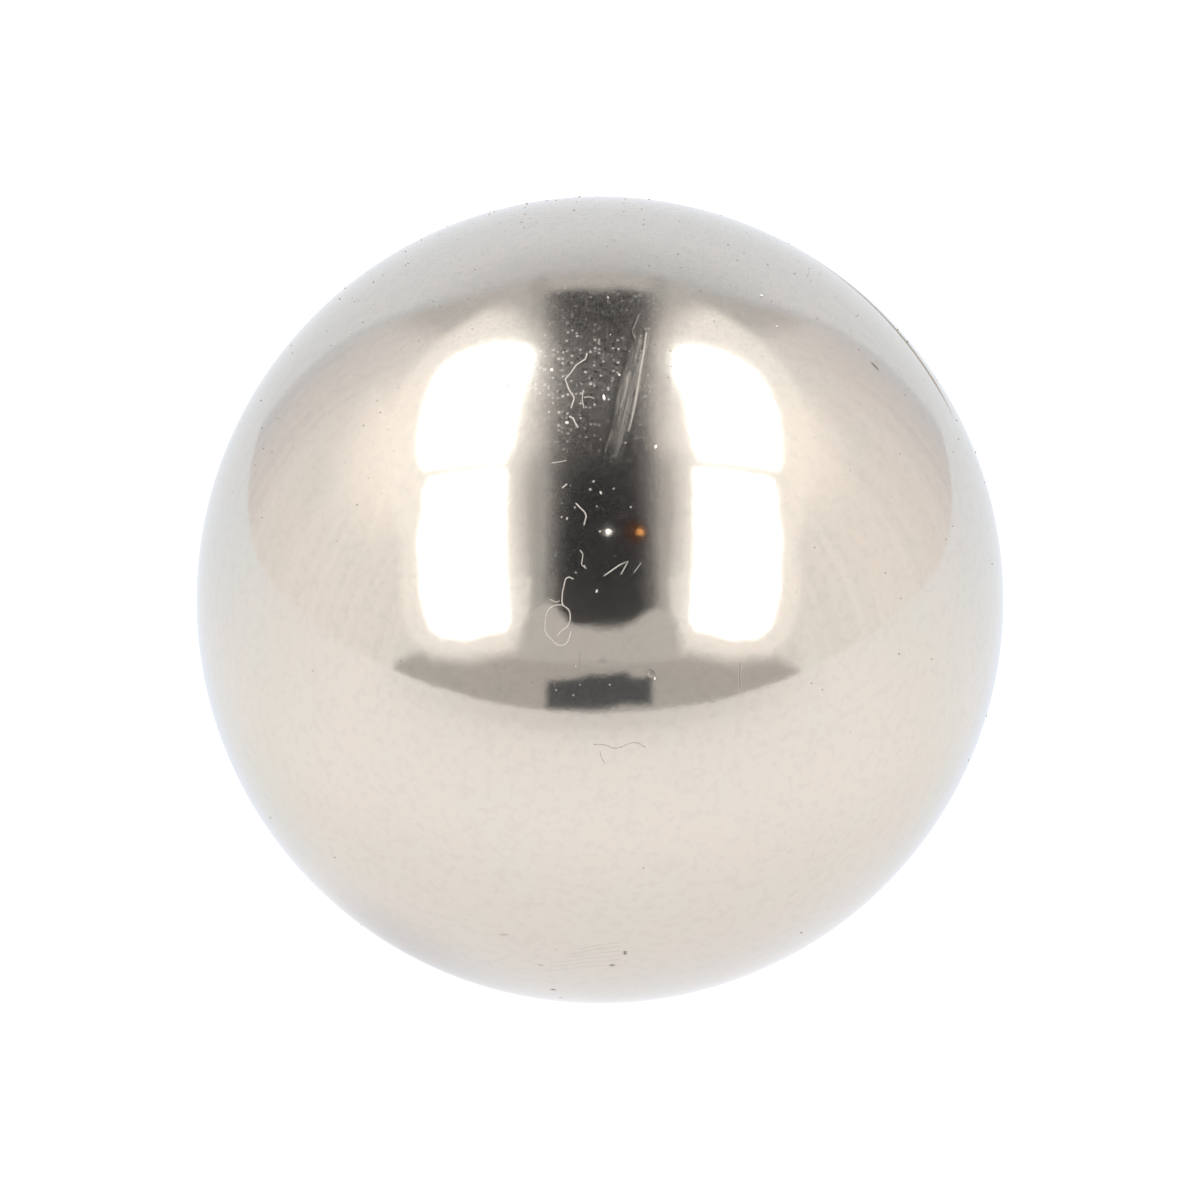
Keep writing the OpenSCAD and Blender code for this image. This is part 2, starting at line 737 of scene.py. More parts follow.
@dataclass(frozen=True)
class LightTent:
    """The tent of white cloth round the ball, its lit panels and its openings.

    The camera sees the cloth as plain white. The ball sees it shaded from the front to the
    back by `cloth_colours`, and folded.
    """

    ball_radius: float
    seen_white: float = 1.1
    cloth_strength: float = 1.3
    cloth_colours: Stops = (
        (0.0, "C2BFC1"), (0.25, "ECEAE9"), (0.5, "F1EDEC"), (0.75, "E6E2E3"), (0.85, "D5D2D5"),
        (0.915, "C6C9D1"),
    )
    fold_count: float = 26.0
    fold_depth: float = 0.05
    fold_edges: Span = (0.3, 0.7)

    def pitch(self) -> None:
        """Sets up the cloth, the table, the panels and the openings."""
        self.light_the_cloth()
        GlowingTable(self.ball_radius, self.seen_white).lay()
        for card in MIDDLE_CARDS:
            card.hang()
        for side in Side:
            for card in (*SIDE_CARDS, *OWN_CARDS[side]):
                card.hang(side)
        LOG.info("light tent pitched")

    def light_the_cloth(self) -> None:
        """Makes the world the tent's cloth."""
        world = bpy.data.worlds.new("tent_cloth")
        bpy.context.scene.world = world
        world.use_nodes = True
        tree = world.node_tree
        tree.nodes.clear()
        bearing = add_node(tree, "ShaderNodeTexCoord").outputs["Generated"]
        parts = add_node(tree, "ShaderNodeSeparateXYZ", None, (bearing,))
        depth = add_node(tree, "ShaderNodeMapRange", None, (parts.outputs["Y"], -1.0, 1.0))
        ramp = add_node(tree, "ShaderNodeValToRGB", None, (depth.outputs["Result"],))
        fill_ramp(ramp, self.cloth_colours)
        cloth = add_node(
            tree, "ShaderNodeBackground", None,
            {"Color": ramp.outputs["Color"], "Strength": self._fold_shade(tree, bearing)},
        )
        plain = add_node(
            tree, "ShaderNodeBackground", None, {"Color": (1, 1, 1, 1), "Strength": self.seen_white}
        )
        path = add_node(tree, "ShaderNodeLightPath")
        mix = add_node(
            tree, "ShaderNodeMixShader", None,
            (path.outputs["Is Camera Ray"], cloth.outputs[0], plain.outputs[0]),
        )
        add_node(tree, "ShaderNodeOutputWorld", None, {"Surface": mix.outputs[0]})

    def _fold_shade(self, tree: bpy.types.NodeTree, bearing: bpy.types.NodeSocket) -> bpy.types.NodeSocket:
        """Works out the cloth's brightness, with its upright folds.

        Args:
            tree: The world's node tree.
            bearing: The direction that is looked up.

        Returns:
            The brightness.
        """
        level = add_node(tree, "ShaderNodeVectorMath", MULTIPLY, (bearing, (1, 1, 0)))
        round_about = add_node(
            tree, "ShaderNodeVectorMath", {"operation": "NORMALIZE"}, (level.outputs["Vector"],)
        )
        folds = add_node(
            tree, "ShaderNodeTexNoise", None,
            {
                "Vector": round_about.outputs["Vector"], "Scale": self.fold_count,
                "Detail": 2.0, "Roughness": 0.6,
            },
        )
        limits = (self.cloth_strength * (1 - self.fold_depth), self.cloth_strength * (1 + self.fold_depth))
        shade = add_node(
            tree, "ShaderNodeMapRange", None, (folds.outputs["Fac"], *self.fold_edges, *limits)
        )
        return shade.outputs["Result"]


# ---------------------------------------------------------------- wear


@dataclass(frozen=True)
class Mark:
    """A streak or, with one point, a pit that use has left in the plating.

    Its depth cuts it into the ball, and a negative one raises it. Dulling clouds the
    mirror there, and its darkening is dirt and painted shade in its hollow, both from 0
    to 1. Its width is taken where its bell-shaped cross-section has half its height.
    """

    route: tuple[Place, ...]
    width_um: float
    depth_um: float = 0.0
    dulling: float = 0.0
    soil_and_shade: float = 0.0

    def closeness(self, points: np.ndarray, view: Viewpoint) -> np.ndarray:
        """Tells how near each point is to the mark.

        Args:
            points: Points on the ball.
            view: The viewpoint that the route is seen from.

        Returns:
            Each point's distance from the route, in metres.
        """
        stops = [np.array(view.place(*place)) for place in self.route]
        nearest = np.linalg.norm(points - stops[0], axis=1)
        for start, end in zip(stops, stops[1:]):
            run = end - start
            share = np.clip((points - start) @ run / (run @ run), 0, 1)
            gap = np.linalg.norm(points - start - share[:, None] * run, axis=1)
            nearest = np.minimum(nearest, gap)
        return nearest

    def weight(self, points: np.ndarray, view: Viewpoint) -> np.ndarray:
        """Gives the mark's cross-section, 1 on its middle line and a half at its edges."""
        widths = self.closeness(points, view) / (self.width_um * MICRON)
        return np.exp(-4 * math.log(2) * widths**2)


@dataclass(frozen=True)
class RubbedPatch:
    """The patch where another magnet has slid along the ball: a band of streaks.

    A fine streak runs beside the band's middle line, whose places are counted from 0. Each
    pair of limits is what chance picks between.
    """

    middle: tuple[Place, ...] = (
        (0.56, 3.45), (0.50, 3.2), (0.43, 2.9), (0.36, 2.5), (0.28, 2.15), (0.17, 1.78),
    )
    half_width_mm: float = 0.12
    fine_streaks: int = 46
    steps: int = 3
    first_start: float = 0.6
    lengths: Span = (0.5, 2.2)
    slant_mm: float = 0.006
    heights_um: Span = (0.03, 0.12)
    widths_um: Span = (14, 30)
    dullings: Span = (0.03, 0.14)
    seed: int = 11

    def marks(self) -> list[Mark]:
        """Lists the patch's streaks, from the broad smears to the finest.

        Returns:
            The marks.
        """
        main = [
            Mark(self.middle[1:], 230, dulling=0.2),
            Mark(((0.33, 2.75), (0.26, 2.35), (0.17, 2.0)), 150, dulling=0.16),
            Mark(((0.565, 3.31), (0.51, 2.94), (0.45, 2.58), (0.39, 2.27), (0.35, 2.10)), 19, -1.2, 0.34),
            Mark(((0.51, 3.10), (0.47, 2.84), (0.43, 2.62)), 17, -0.9, 0.24),
            Mark(((0.37, 2.83), (0.31, 2.55), (0.26, 2.40)), 20, 0.8, 0.3),
            Mark(((0.47, 3.54), (0.43, 3.42), (0.39, 3.34), (0.43, 3.25)), 18, -0.9, 0.3),
            Mark(((0.57, 3.67), (0.54, 3.49), (0.49, 3.28)), 90, dulling=0.09),
            Mark(((0.53, 3.0), (0.50, 2.82), (0.46, 2.65)), 18, 0.3, soil_and_shade=0.2),
            Mark(((0.25, 2.62), (0.20, 2.31)), 30, 0.2, soil_and_shade=0.2),
            Mark(((0.16, 2.09), (0.10, 1.96), (0.06, 1.83)), 20, -0.7, 0.2),
        ]
        return main + self._fine_streaks()

    def _fine_streaks(self) -> list[Mark]:
        """Scatters fine streaks along the band, each a short run beside its middle line.

        Returns:
            The streaks.
        """
        chance = random.Random(self.seed)
        line = np.array(self.middle)
        stations = np.arange(len(line))
        streaks = []
        for _ in range(self.fine_streaks):
            start = chance.uniform(self.first_start, len(line) - 2)
            end = min(start + chance.uniform(*self.lengths), len(line) - 1)
            aside = chance.uniform(-self.half_width_mm, self.half_width_mm)
            slant = chance.uniform(-self.slant_mm, self.slant_mm)
            run = []
            for step in range(self.steps + 1):
                station = start + (end - start) * step / self.steps
                right = float(np.interp(station, stations, line[:, 0]))
                up = float(np.interp(station, stations, line[:, 1]))
                run.append((right + aside + slant * step, up))
            height = chance.choice((-1, 1)) * chance.uniform(*self.heights_um)
            width = chance.uniform(*self.widths_um)
            streaks.append(Mark(tuple(run), width, height, chance.uniform(*self.dullings)))
        return streaks


# Pits, nicks and dark marks away from the rubbed patch, darkened with dirt and painted shade.
SMALL_MARKS = (
    Mark(((3.38, 2.93), (3.44, 2.87)), 55, 3.5, soil_and_shade=0.85),
    Mark(((0.15, -4.53),), 48, 5.0, soil_and_shade=0.9),
    Mark(((-0.58, -4.83),), 55, 6.0, soil_and_shade=0.9),
    Mark(((-0.49, -4.93),), 45, 5.0, soil_and_shade=0.6),
    Mark(((0.31, -4.36), (0.31, -4.39)), 34, 4.0, soil_and_shade=0.8),
    Mark(((-0.75, -4.52), (-0.72, -4.53)), 40, 3.0, soil_and_shade=0.3),
    Mark(((-1.22, -4.15), (-1.16, -4.15)), 34, 2.0, soil_and_shade=0.3),
    Mark(((0.02, -0.77), (0.04, -0.77)), 70, 0.5, soil_and_shade=0.22),
    Mark(((-0.25, -0.67), (-0.25, -0.86)), 22, 0.5, soil_and_shade=0.2),
    Mark(((1.74, -0.79), (1.73, -0.95), (1.74, -1.10)), 26, 0.2, soil_and_shade=0.8),
    Mark(((0.62, -0.90), (0.64, -0.92)), 36, 2.0, soil_and_shade=0.8),
)


@dataclass(frozen=True)
class LapLines:
    """A set of fine arcs that the grinding laps left low on the ball's front."""

    count: int = 6
    first_up_mm: float = -4.24
    pitch_mm: float = 0.054
    left_mm: float = -0.8
    right_mm: float = 0.24
    step_mm: float = 0.09
    rise_mm: float = 0.09
    bow: float = 0.4
    width_um: float = 26
    depth_um: float = 1.2
    dulling: float = 0.1
    soil_and_shade: float = 0.1

    def marks(self) -> list[Mark]:
        """Lists the arcs, each a little shorter at its left end than the one below it.

        Returns:
            The marks.
        """
        arcs = []
        for i in range(self.count):
            up = self.first_up_mm - i * self.pitch_mm
            left = self.left_mm + self.step_mm * (self.count - i)
            middle = ((left + self.right_mm) / 2, up - self.bow * self.rise_mm)
            route = ((left, up - self.rise_mm), middle, (self.right_mm, up))
            arcs.append(Mark(route, self.width_um, self.depth_um, self.dulling, self.soil_and_shade))
        return arcs


# ---------------------------------------------------------------- plated ball


@dataclass(frozen=True)
class NickelPlate:
    """Bright nickel plate over a ground ball: a warm mirror with a fine orange peel.

    Plating over ground metal keeps a slight haze round bright reflections. It is
    drawn as rough grains too small to see one by one. Dust settles on what faces up, and
    most of it on one spot. A pair of edges holds the values between which a pattern
    comes in.
    """

    ball_radius: float
    view: Viewpoint
    name: str = "nickel_plate"
    colour: str = "D3CEC3"
    roughness: float = 0.07
    # Each noise by what it draws: the real width of its grains in millimetres, and how many
    # finer layers it has.
    noises: tuple[tuple[str, float, float], ...] = (
        # Tarnish lies in wide, faint clouds, a millimetre across.
        ("tarnish", 1.1, 2.0),
        # Handling leaves faint, small smudges.
        ("smudge", 0.13, 2.0),
        # Dust is darker in one speck than in the next.
        ("dust_kind", 0.055, 2.0),
        # The ground metal's grain is too fine to see: it only softens what is mirrored.
        ("grain", 0.002, 2.0),
        # Orange peel has bumps a twentieth of a millimetre wide.
        ("peel", 0.055, 2.0),
        # Grinding leaves long, low waves.
        ("wave", 0.5, 1.0),
    )
    noise_roughness: float = 0.6
    tarnish_colour: str = "D5CDC2"
    tarnish_edges: Span = (0.35, 0.65)
    smudge_colour: str = "D0CAC0"
    smudge_edges: Span = (0.45, 0.68)
    grain_edges: Span = (0.61, 0.67)
    grain_roughness: float = 0.38
    rubbed_grain: float = 0.3
    peel_height_um: float = 0.2
    wave_height_um: float = 1.2
    # The dark coat of the marks: dirt, with the shade of their hollows painted in.
    dirt_and_shade_colour: str = "4A4037"
    dirt_and_shade_metal: float = 0.3
    dirt_and_shade_roughness: float = 0.6
    dust_colours: tuple[str, str] = ("8B8786", "B1B1B4")
    dust_kind_edges: Span = (0.38, 0.62)
    dust_metal: float = 0.25
    dust_roughness: float = 0.75
    # Dust on top: how high up it starts and is thickest, in radii, and its share there.
    dusty_heights: Span = (0.66, 0.985)
    dust_on_top: float = 0.5
    dusty_spot: Place = (-0.27, 2.78)
    dusty_reach_mm: Span = (0.1, 1.7)
    # Fine dust is a thin film with thicker specks. One flake is too small to show, so a speck
    # is drawn as wide as a clump of them.
    speck_mm: float = 0.055
    speck_edges: Span = (0.1, 0.56)
    speck_picks: Span = (0.2, 1.0)
    dust_film: float = 0.12
    thickest_speck: float = 0.5
    # A rub wipes the dust away, down to this share.
    rubbed_edges: Span = (0.02, 0.1)
    rubbed_dust: float = 0.3

    def make(self) -> bpy.types.Material:
        """Builds the plating, with its patterns on Object coordinates.

        Returns:
            Its material.
        """
        material = empty_material(self.name)
        tree = material.node_tree
        spot = add_node(tree, "ShaderNodeTexCoord").outputs["Object"]
        rubbed, soiled_and_shaded = (
            add_node(tree, "ShaderNodeAttribute", {"attribute_name": name}).outputs["Fac"]
            for name in ("rubbed", "soiled_and_shaded")
        )
        noise = {
            name: add_node(
                tree, "ShaderNodeTexNoise", None,
                {
                    "Vector": spot, "Scale": 1 / (width_mm * MM), "Detail": layers,
                    "Roughness": self.noise_roughness,
                },
            ).outputs["Fac"]
            for name, width_mm, layers in self.noises
        }
        more_grain = add_node(tree, "ShaderNodeMath", MULTIPLY, (rubbed, self.rubbed_grain))
        grain = add_node(
            tree, "ShaderNodeMath", {"operation": "ADD"}, (noise["grain"], more_grain.outputs["Value"])
        )
        tarnished, smudged, dust_kind, grainy = (
            add_node(tree, "ShaderNodeMapRange", SMOOTH, (value, *edges)).outputs["Result"]
            for value, edges in (
                (noise["tarnish"], self.tarnish_edges), (noise["smudge"], self.smudge_edges),
                (noise["dust_kind"], self.dust_kind_edges), (grain.outputs["Value"], self.grain_edges),
            )
        )
        dark_dust, light_dust = (linear_rgb(colour) for colour in self.dust_colours)
        dust = add_node(tree, "ShaderNodeMix", MIX_COLOURS, {0: dust_kind, 6: dark_dust, 7: light_dust})
        # From the bare plate up: where each coat lies, and its colour, metal and roughness.
        coats = (
            (tarnished, linear_rgb(self.tarnish_colour), None, None),
            (smudged, linear_rgb(self.smudge_colour), None, None),
            (grainy, None, None, self.grain_roughness),
            # The soiled coat darkens the pits and streaks: dirt, and painted shade in their hollows.
            (soiled_and_shaded, linear_rgb(self.dirt_and_shade_colour), self.dirt_and_shade_metal, self.dirt_and_shade_roughness),
            (self._dust_cover(tree, spot, rubbed), dust.outputs[2], self.dust_metal, self.dust_roughness),
        )
        colour, metal, roughness = linear_rgb(self.colour), 1.0, self.roughness
        for share, coat_colour, coat_metal, coat_roughness in coats:
            if coat_colour is not None:
                sockets = {0: share, 6: colour, 7: coat_colour}
                colour = add_node(tree, "ShaderNodeMix", MIX_COLOURS, sockets).outputs[2]
            if coat_metal is not None:
                sockets = {0: share, 2: metal, 3: coat_metal}
                metal = add_node(tree, "ShaderNodeMix", MIX_NUMBERS, sockets).outputs[0]
            if coat_roughness is not None:
                sockets = {0: share, 2: roughness, 3: coat_roughness}
                roughness = add_node(tree, "ShaderNodeMix", MIX_NUMBERS, sockets).outputs[0]
        shader = add_node(
            tree, "ShaderNodeBsdfPrincipled", None,
            {
                "Base Color": colour, "Metallic": metal, "Roughness": roughness,
                "Normal": self._relief(tree, noise["wave"], noise["peel"]),
            },
        )
        add_node(tree, "ShaderNodeOutputMaterial", None, {"Surface": shader.outputs[0]})
        return material

    def _relief(
        self, tree: bpy.types.NodeTree, wave: bpy.types.NodeSocket, peel: bpy.types.NodeSocket
    ) -> bpy.types.NodeSocket:
        """Lays the orange peel over the waves.

        Args:
            tree: The plating's node tree.
            wave: The height of the waves, from 0 to 1.
            peel: The height of the peel, from 0 to 1.

        Returns:
            The plating's normal.
        """
        waved = add_node(
            tree, "ShaderNodeBump", None,
            {"Height": wave, "Distance": self.wave_height_um * MICRON, "Strength": 1.0},
        )
        peeled = add_node(
            tree, "ShaderNodeBump", None,
            {
                "Height": peel, "Distance": self.peel_height_um * MICRON, "Strength": 1.0,
                "Normal": waved.outputs["Normal"],
            },
        )
        return peeled.outputs["Normal"]

    def _dust_cover(
        self, tree: bpy.types.NodeTree, spot: bpy.types.NodeSocket, rubbed: bpy.types.NodeSocket
    ) -> bpy.types.NodeSocket:
        """Works out how thick the fine dust lies.

        Args:
            tree: The plating's node tree.
            spot: The Object coordinates.
            rubbed: How rubbed the plating is.

        Returns:
            The dust's share, from 0 to 1.
        """
        height = add_node(tree, "ShaderNodeSeparateXYZ", None, (spot,)).outputs["Z"]
        apart = add_node(
            tree, "ShaderNodeVectorMath", {"operation": "DISTANCE"},
            (spot, tuple(self.view.place(*self.dusty_spot))),
        ).outputs["Value"]
        cells = add_node(
            tree, "ShaderNodeTexVoronoi", None, {"Vector": spot, "Scale": 1 / (self.speck_mm * MM)}
        )
        pick = add_node(tree, "ShaderNodeSeparateXYZ", None, (cells.outputs["Color"],))
        heights = (share * self.ball_radius for share in self.dusty_heights)
        reach = (end * MM for end in self.dusty_reach_mm)
        on_top, on_spot, speck, thickness, unrubbed = (
            add_node(tree, "ShaderNodeMapRange", SMOOTH, inputs).outputs["Result"]
            for inputs in (
                (height, *heights, 0.0, self.dust_on_top),
                (apart, *reach, 1.0, 0.0),
                (cells.outputs["Distance"], *self.speck_edges, 1.0, 0.0),
                (pick.outputs["X"], *self.speck_picks, 0.0, self.thickest_speck),
                (rubbed, *self.rubbed_edges, 1.0, self.rubbed_dust),
            )
        )
        settled = add_node(tree, "ShaderNodeMath", {"operation": "MAXIMUM"}, (on_top, on_spot))
        cover = add_node(
            tree, "ShaderNodeMix", MIX_NUMBERS, {0: speck, 2: self.dust_film, 3: thickness}
        ).outputs[0]
        for share in (settled.outputs["Value"], unrubbed):
            cover = add_node(tree, "ShaderNodeMath", MULTIPLY, (cover, share)).outputs["Value"]
        return cover


@dataclass(frozen=True)
class PlatedBall:
    """The ball itself: ground true, plated, then marked by use."""

    radius: float
    view: Viewpoint
    cells: int = 64
    refine_reach_mm: tuple[float, ...] = (0.36, 0.2, 0.1, 0.045)

    def build(self) -> bpy.types.Object:
        """Builds the ball, wears it and gives it its plating.

        Returns:
            The ball, in the place of the plain one.
        """
        start_afresh()
        bpy.ops.mesh.primitive_cube_add(size=2)
        ball = new_piece("plated_ball")
        bpy.ops.object.mode_set(mode="EDIT")
        bpy.ops.mesh.select_all(action="SELECT")
        bpy.ops.mesh.subdivide(number_cuts=self.cells - 1)
        bpy.ops.object.mode_set(mode="OBJECT")
        # The tangent makes the faces nearly equal once they lie on the sphere.
        write_points(ball.data, self._on_ball(np.tan(read_points(ball.data) * math.pi / 4)))
        marks = [*RubbedPatch().marks(), *LapLines().marks(), *SMALL_MARKS]
        self._refine(ball, marks)
        self._wear(ball, marks)
        bpy.ops.object.shade_smooth()
        ball.data.materials.append(NickelPlate(self.radius, self.view).make())
        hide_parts("ball")
        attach(ball, "root")
        LOG.info("plated ball built, %d faces", len(ball.data.polygons))
        return ball

    def _on_ball(self, points: np.ndarray) -> np.ndarray:
        """Moves points straight in or out, onto the true sphere."""
        return points * (self.radius / np.linalg.norm(points, axis=1, keepdims=True))

    def _refine(self, ball: bpy.types.Object, marks: list[Mark]) -> None:
        """Cuts the faces near the marks smaller, step by step, so that they can be carved.

        Args:
            ball: The ball, still plain.
            marks: All its marks.
        """
        bpy.context.tool_settings.mesh_select_mode = (False, False, True)
        for reach_mm in self.refine_reach_mm:
            mesh = ball.data
            centres = np.empty(len(mesh.polygons) * 3)
            mesh.polygons.foreach_get("center", centres)
            centres = centres.reshape(-1, 3)
            near = np.zeros(len(centres), dtype=bool)
            for mark in marks:
                reach = reach_mm * MM + mark.width_um * MICRON / 2
                near |= mark.closeness(centres, self.view) < reach
            bpy.ops.object.mode_set(mode="EDIT")
            bpy.ops.mesh.select_all(action="DESELECT")
            bpy.ops.object.mode_set(mode="OBJECT")
            mesh.polygons.foreach_set("select", near)
            bpy.ops.object.mode_set(mode="EDIT")
            bpy.ops.mesh.subdivide(number_cuts=1)
            bpy.ops.object.mode_set(mode="OBJECT")
            write_points(mesh, self._on_ball(read_points(mesh)))

    def _wear(self, ball: bpy.types.Object, marks: list[Mark]) -> None:
        """Carves the marks, and notes where the plating is rubbed and where it is darkened by dirt and
        painted shade.

        Args:
            ball: The ball, refined.
            marks: All its marks.
        """
        points = read_points(ball.data)
        depth = np.zeros(len(points))
        polished = np.ones(len(points))
        free_of_soil_and_shade = np.ones(len(points))
        for mark in marks:
            weight = mark.weight(points, self.view)
            depth += weight * mark.depth_um * MICRON
            polished *= 1 - weight * mark.dulling
            free_of_soil_and_shade *= 1 - weight * mark.soil_and_shade
        write_points(ball.data, points * (1 - depth / self.radius)[:, None])
        write_attribute(ball.data, "rubbed", 1 - polished)
        write_attribute(ball.data, "soiled_and_shaded", 1 - free_of_soil_and_shade)


# ---------------------------------------------------------------- lint

# How many steps a fibre takes between two places, how round it is, and how close its points
# are when they are welded.
FIBRE_STEPS = 6
FIBRE_ROUNDNESS = 1
WELD = 0.1 * MICRON


@dataclass(frozen=True)
class CottonLint:
    """Loose cotton lint: a pale, soft fibre that takes the light evenly."""

    name: str
    colour: str
    thin_colour: str
    blotch_mm: float = 0.04
    roughness: float = 0.75
    sheen: float = 0.2

    def make(self) -> bpy.types.Material:
        """Builds the fibre's finish, a little uneven along its length.

        Returns:
            Its material.
        """
        material = empty_material(self.name)
        tree = material.node_tree
        spot = add_node(tree, "ShaderNodeTexCoord").outputs["Object"]
        blotches = add_node(
            tree, "ShaderNodeTexNoise", None,
            {"Vector": spot, "Scale": 1 / (self.blotch_mm * MM), "Detail": 1.0},
        )
        colour = add_node(
            tree, "ShaderNodeMix", MIX_COLOURS,
            {0: blotches.outputs["Fac"], 6: linear_rgb(self.thin_colour), 7: linear_rgb(self.colour)},
        )
        shader = add_node(
            tree, "ShaderNodeBsdfPrincipled", None,
            {"Base Color": colour.outputs[2], "Roughness": self.roughness, "Sheen Weight": self.sheen},
        )
        add_node(tree, "ShaderNodeOutputMaterial", None, {"Surface": shader.outputs[0]})
        return material


class Lint(Enum):
    """The kinds of lint on the ball."""

    PALE = CottonLint("pale_lint", "D8D2C8", "9A938B")
    DARK = CottonLint("dark_lint", "B9AFA3", "94897D")


@dataclass(frozen=True)
class Fibre:
    """One lint fibre that lies on the ball, by the places that it passes.

    Its middle line is `lift` of its own radius above the plating.
    """

    route: tuple[Place, ...]
    width_um: float = 16
    kinked: bool = True
    kind: Lint = Lint.PALE
    lift: float = 0.6

    def lay(self, view: Viewpoint, name: str) -> bpy.types.Object:
        """Lays the fibre on the ball.

        Args:
            view: The viewpoint that its route is seen from.
            name: The fibre's name.

        Returns:
            The fibre, as a closed mesh.
        """
        start_afresh()
        bpy.ops.curve.primitive_bezier_curve_add()
        fibre = new_piece(name)
        spline = fibre.data.splines[0]
        spline.bezier_points.add(len(self.route) - len(spline.bezier_points))
        radius = self.width_um * MICRON / 2
        for knot, place in zip(spline.bezier_points, self.route):
            knot.co = view.place(*place, lift=self.lift * radius)
            knot.handle_left_type = knot.handle_right_type = "VECTOR" if self.kinked else "AUTO"
        fibre.data.resolution_u = FIBRE_STEPS
        fibre.data.bevel_depth = radius
        fibre.data.bevel_resolution = FIBRE_ROUNDNESS
        fibre.data.use_fill_caps = True
        bpy.ops.object.convert(target="MESH")
        bpy.ops.object.mode_set(mode="EDIT")
        bpy.ops.mesh.select_all(action="SELECT")
        bpy.ops.mesh.remove_doubles(threshold=WELD)
        bpy.ops.mesh.normals_make_consistent(inside=False)
        bpy.ops.object.mode_set(mode="OBJECT")
        bpy.ops.object.shade_smooth()
        fibre.data.materials.append(self.kind.value.make())
        return fibre


FIBRES = (
    Fibre(
        (
            (-0.16, 3.06), (-0.18, 2.99), (-0.24, 2.95), (-0.30, 2.91), (-0.36, 2.82), (-0.43, 2.74),
            (-0.39, 2.62), (-0.32, 2.51), (-0.34, 2.44), (-0.36, 2.38),
        ),
    ),
    Fibre(((-0.38, 2.28), (-0.33, 2.25), (-0.30, 2.18), (-0.27, 2.14)), 19),
    Fibre(((-0.21, 2.60), (-0.22, 2.49), (-0.20, 2.38)), 10),
    Fibre(((-0.20, 2.51), (-0.13, 2.52), (-0.07, 2.50)), 9),
    Fibre(((-0.60, 1.70), (-0.52, 1.71), (-0.42, 1.73)), 11),
    Fibre(((-0.30, 1.20), (-0.19, 1.09), (-0.17, 1.04), (-0.20, 0.93)), 15),
    Fibre(((0.05, 0.30), (0.15, 0.37), (0.25, 0.44), (0.35, 0.48), (0.31, 0.41), (0.26, 0.32)), 13),
    Fibre(((-0.25, 0.62), (-0.21, 0.57), (-0.23, 0.44), (-0.17, 0.39)), 11),
    Fibre(
        (
            (-0.33, 0.26), (-0.40, 0.28), (-0.45, 0.16), (-0.47, 0.03), (-0.46, -0.06), (-0.39, -0.12),
            (-0.37, -0.23), (-0.40, -0.32), (-0.47, -0.38), (-0.53, -0.44),
        ),
        13, False,
    ),
    Fibre(
        (
            (-0.46, -0.06), (-0.57, -0.07), (-0.65, -0.14), (-0.68, -0.27), (-0.67, -0.41), (-0.61, -0.48),
            (-0.51, -0.56), (-0.42, -0.54), (-0.38, -0.46), (-0.36, -0.39),
        ),
        12, False,
    ),
    Fibre(((-0.62, 0.01), (-0.55, -0.03), (-0.50, -0.01)), 9),
    Fibre(((0.51, 0.46), (0.42, 0.34)), 8),
    Fibre(((-0.47, 1.39), (-0.41, 1.44)), 15),
    Fibre(
        ((-0.08, -1.79), (0.06, -1.80), (0.19, -1.84), (0.44, -1.77), (0.57, -1.83)), 9, False, Lint.DARK,
    ),
    Fibre(((0.00, -1.88), (0.02, -1.96), (0.06, -2.02)), 7, False, Lint.DARK),
)


@dataclass(frozen=True)
class LintFibres:
    """All the lint on the ball."""

    view: Viewpoint
    fibres: tuple[Fibre, ...] = FIBRES

    def build(self) -> list[bpy.types.Object]:
        """Lays every fibre and gathers each kind into one piece.

        Returns:
            The pieces.
        """
        pieces = []
        for kind in Lint:
            laid = [
                fibre.lay(self.view, f"fibre_{i}")
                for i, fibre in enumerate(self.fibres) if fibre.kind is kind
            ]
            piece = join_pieces(laid, f"{kind.name.lower()}_lint")
            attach(piece, "root")
            pieces.append(piece)
        LOG.info("%d lint fibres laid", len(self.fibres))
        return pieces


# ---------------------------------------------------------------- dust


@dataclass(frozen=True)
class HouseDust:
    """House dust: skin flakes, grit and crumbs, from near white to brown."""

    name: str = "house_dust"
    colours: Stops = (
        (0.0, "EFEBE4"), (0.3, "D2CCC3"), (0.5, "B9B3AA"), (0.95, "9E968B"), (1.0, "6E6255"),
    )
    roughness: float = 0.85

    def make(self) -> bpy.types.Material:
        """Builds the dust's finish. The attribute `tone` gives each grain its own colour.

        Returns:
            Its material.
        """
        material = empty_material(self.name)
        tree = material.node_tree
        tone = add_node(tree, "ShaderNodeAttribute", {"attribute_name": "tone"})
        ramp = add_node(tree, "ShaderNodeValToRGB", None, (tone.outputs["Fac"],))
        fill_ramp(ramp, self.colours)
        shader = add_node(
            tree, "ShaderNodeBsdfPrincipled", None,
            {"Base Color": ramp.outputs["Color"], "Roughness": self.roughness},
        )
        add_node(tree, "ShaderNodeOutputMaterial", None, {"Surface": shader.outputs[0]})
        return material


# Grains that stand out, as a place and a width in micrometres.
LARGE_GRAINS = (
    ((2.00, 3.77), 38), ((2.19, 3.39), 40), ((-0.60, 2.85), 46), ((0.05, 2.51), 54), ((-0.41, 2.20), 44),
    ((0.69, 1.90), 42), ((0.23, 3.11), 30), ((0.24, 2.79), 34), ((0.01, 2.78), 26), ((0.10, 3.75), 32),
    ((-0.08, 1.47), 30), ((-0.12, 1.37), 30), ((0.01, 1.33), 34), ((0.17, 1.38), 26), ((0.38, 1.15), 30),
    ((-0.41, 1.01), 28), ((0.00, 0.85), 26), ((-0.19, 0.42), 26), ((-0.04, 0.11), 36), ((-0.30, 0.34), 24),
    ((0.68, -0.97), 34), ((-0.25, -1.05), 24), ((-0.33, -1.18), 24), ((0.12, -1.05), 24),
    ((-0.30, -0.82), 28),
)


